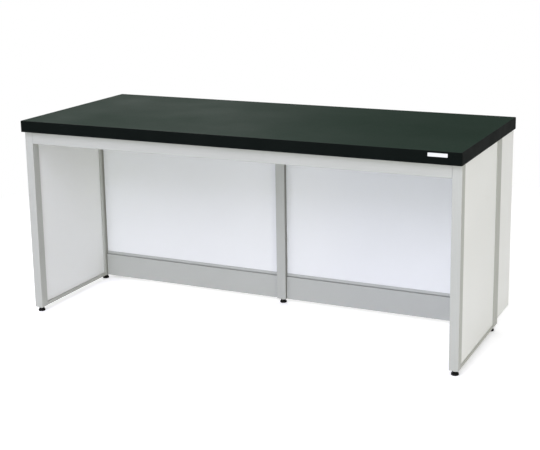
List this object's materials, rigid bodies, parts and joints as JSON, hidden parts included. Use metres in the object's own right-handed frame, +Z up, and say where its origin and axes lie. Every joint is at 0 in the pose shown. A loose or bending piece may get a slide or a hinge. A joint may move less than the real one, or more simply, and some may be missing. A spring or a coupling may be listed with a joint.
{
  "type": "laboratory side bench",
  "caption": "Laboratory side bench: dark laminate worktop on an aluminium profile frame with white end and back panels, a rear pipe space with side covers, and levelling feet.",
  "frame": {"origin": "on the floor, under the middle of the worktop", "axes": "+X along the worktop to the user's right, +Y towards the wall, +Z up out of the worktop"},
  "size_m": [1.8, 0.75, 0.8],
  "materials": {
    "worktop_core": "raw particle board, sealed in by the skins and the edge bands",
    "worktop_laminate": "fine-textured high-pressure laminate, dark grey-green",
    "worktop_backer": "plain balancing laminate",
    "worktop_edge": "satin black edge band",
    "frame_profile": "satin, silver-grey coated extrusions",
    "white_board": "white melamine-faced board",
    "white_edge": "white edge band",
    "blank_plate": "white, bare, with a raised rim",
    "kick_sheet": "satin grey powder coat",
    "dark_strip": "matt dark grey snap-in strip",
    "joint_block": "die cast",
    "plated_angle": "zinc plated",
    "plated_steel": "zinc plated",
    "foot_plastic": "black moulded nylon",
    "foot_steel": "zinc plated"
  },
  "bodies": {
    "bench": {"worktop_core": "worktop_core", "worktop_laminate": "worktop_laminate", "worktop_backer": "worktop_backer", "edge_band_front": "worktop_edge", "edge_band_back": "worktop_edge", "edge_band_left": "worktop_edge", "edge_band_right": "worktop_edge", "front_post_left": "frame_profile", "front_post_right": "frame_profile", "rear_post_left": "frame_profile", "rear_post_right": "frame_profile", "centre_post": "frame_profile", "front_rail": "frame_profile", "rear_rail": "frame_profile", "centre_bearer": "frame_profile", "lower_rail_left": "frame_profile", "lower_rail_right": "frame_profile", "side_rail_left": "frame_profile", "side_rail_right": "frame_profile", "side_panel_left": "white_board", "side_panel_right": "white_board", "back_panel_left": "white_board", "back_panel_right": "white_board", "pipe_cover_left": "white_board", "pipe_cover_right": "white_board", "cover_edge_left": "white_edge", "cover_edge_right": "white_edge", "name_plate": "blank_plate", "kick_plate_left": "kick_sheet", "kick_plate_right": "kick_sheet", "post_strip_left": "dark_strip", "post_strip_right": "dark_strip", "centre_post_strips": "dark_strip", "rail_end_blocks": "joint_block", "cleats": "plated_angle", "top_brackets": "plated_angle", "rail_block_screws": "plated_steel", "cleat_screws": "plated_steel", "top_bracket_screws": "plated_steel", "kick_plate_screws": "plated_steel", "side_rail_screws": "plated_steel", "foot_inserts": "plated_steel"},
    "pad_front_left": {"foot_pad_front_left": "foot_plastic"},
    "stud_front_left": {"foot_stud_front_left": "foot_steel"},
    "pad_front_right": {"foot_pad_front_right": "foot_plastic"},
    "stud_front_right": {"foot_stud_front_right": "foot_steel"},
    "pad_rear_left": {"foot_pad_rear_left": "foot_plastic"},
    "stud_rear_left": {"foot_stud_rear_left": "foot_steel"},
    "pad_rear_right": {"foot_pad_rear_right": "foot_plastic"},
    "stud_rear_right": {"foot_stud_rear_right": "foot_steel"},
    "pad_rear_centre": {"foot_pad_rear_centre": "foot_plastic"},
    "stud_rear_centre": {"foot_stud_rear_centre": "foot_steel"}
  },
  "joints": [
    {"name": "foot_front_left_height", "type": "slide", "parent": "bench", "child": "pad_front_left", "axis": [0, 0, -1], "range_m": [0, 0.015]},
    {"name": "foot_front_left_turn", "type": "hinge", "parent": "pad_front_left", "child": "stud_front_left", "pos_m": [-0.8785, -0.336, 0.0135], "axis": [0, 0, -1], "range_deg": [-1, 3601]},
    {"name": "foot_front_right_height", "type": "slide", "parent": "bench", "child": "pad_front_right", "axis": [0, 0, -1], "range_m": [0, 0.015]},
    {"name": "foot_front_right_turn", "type": "hinge", "parent": "pad_front_right", "child": "stud_front_right", "pos_m": [0.8785, -0.336, 0.0135], "axis": [0, 0, -1], "range_deg": [-1, 3601]},
    {"name": "foot_rear_left_height", "type": "slide", "parent": "bench", "child": "pad_rear_left", "axis": [0, 0, -1], "range_m": [0, 0.015]},
    {"name": "foot_rear_left_turn", "type": "hinge", "parent": "pad_rear_left", "child": "stud_rear_left", "pos_m": [-0.8785, 0.144, 0.0135], "axis": [0, 0, -1], "range_deg": [-1, 3601]},
    {"name": "foot_rear_right_height", "type": "slide", "parent": "bench", "child": "pad_rear_right", "axis": [0, 0, -1], "range_m": [0, 0.015]},
    {"name": "foot_rear_right_turn", "type": "hinge", "parent": "pad_rear_right", "child": "stud_rear_right", "pos_m": [0.8785, 0.144, 0.0135], "axis": [0, 0, -1], "range_deg": [-1, 3601]},
    {"name": "foot_rear_centre_height", "type": "slide", "parent": "bench", "child": "pad_rear_centre", "axis": [0, 0, -1], "range_m": [0, 0.015]},
    {"name": "foot_rear_centre_turn", "type": "hinge", "parent": "pad_rear_centre", "child": "stud_rear_centre", "pos_m": [0, 0.144, 0.0135], "axis": [0, 0, -1], "range_deg": [-1, 3601]}
  ],
  "couplings": [
    {"joint": "foot_front_left_turn", "follows": "foot_front_left_height", "rad_per_m": 4188.8},
    {"joint": "foot_front_right_turn", "follows": "foot_front_right_height", "rad_per_m": 4188.8},
    {"joint": "foot_rear_left_turn", "follows": "foot_rear_left_height", "rad_per_m": 4188.8},
    {"joint": "foot_rear_right_turn", "follows": "foot_rear_right_height", "rad_per_m": 4188.8},
    {"joint": "foot_rear_centre_turn", "follows": "foot_rear_centre_height", "rad_per_m": 4188.8}
  ]
}
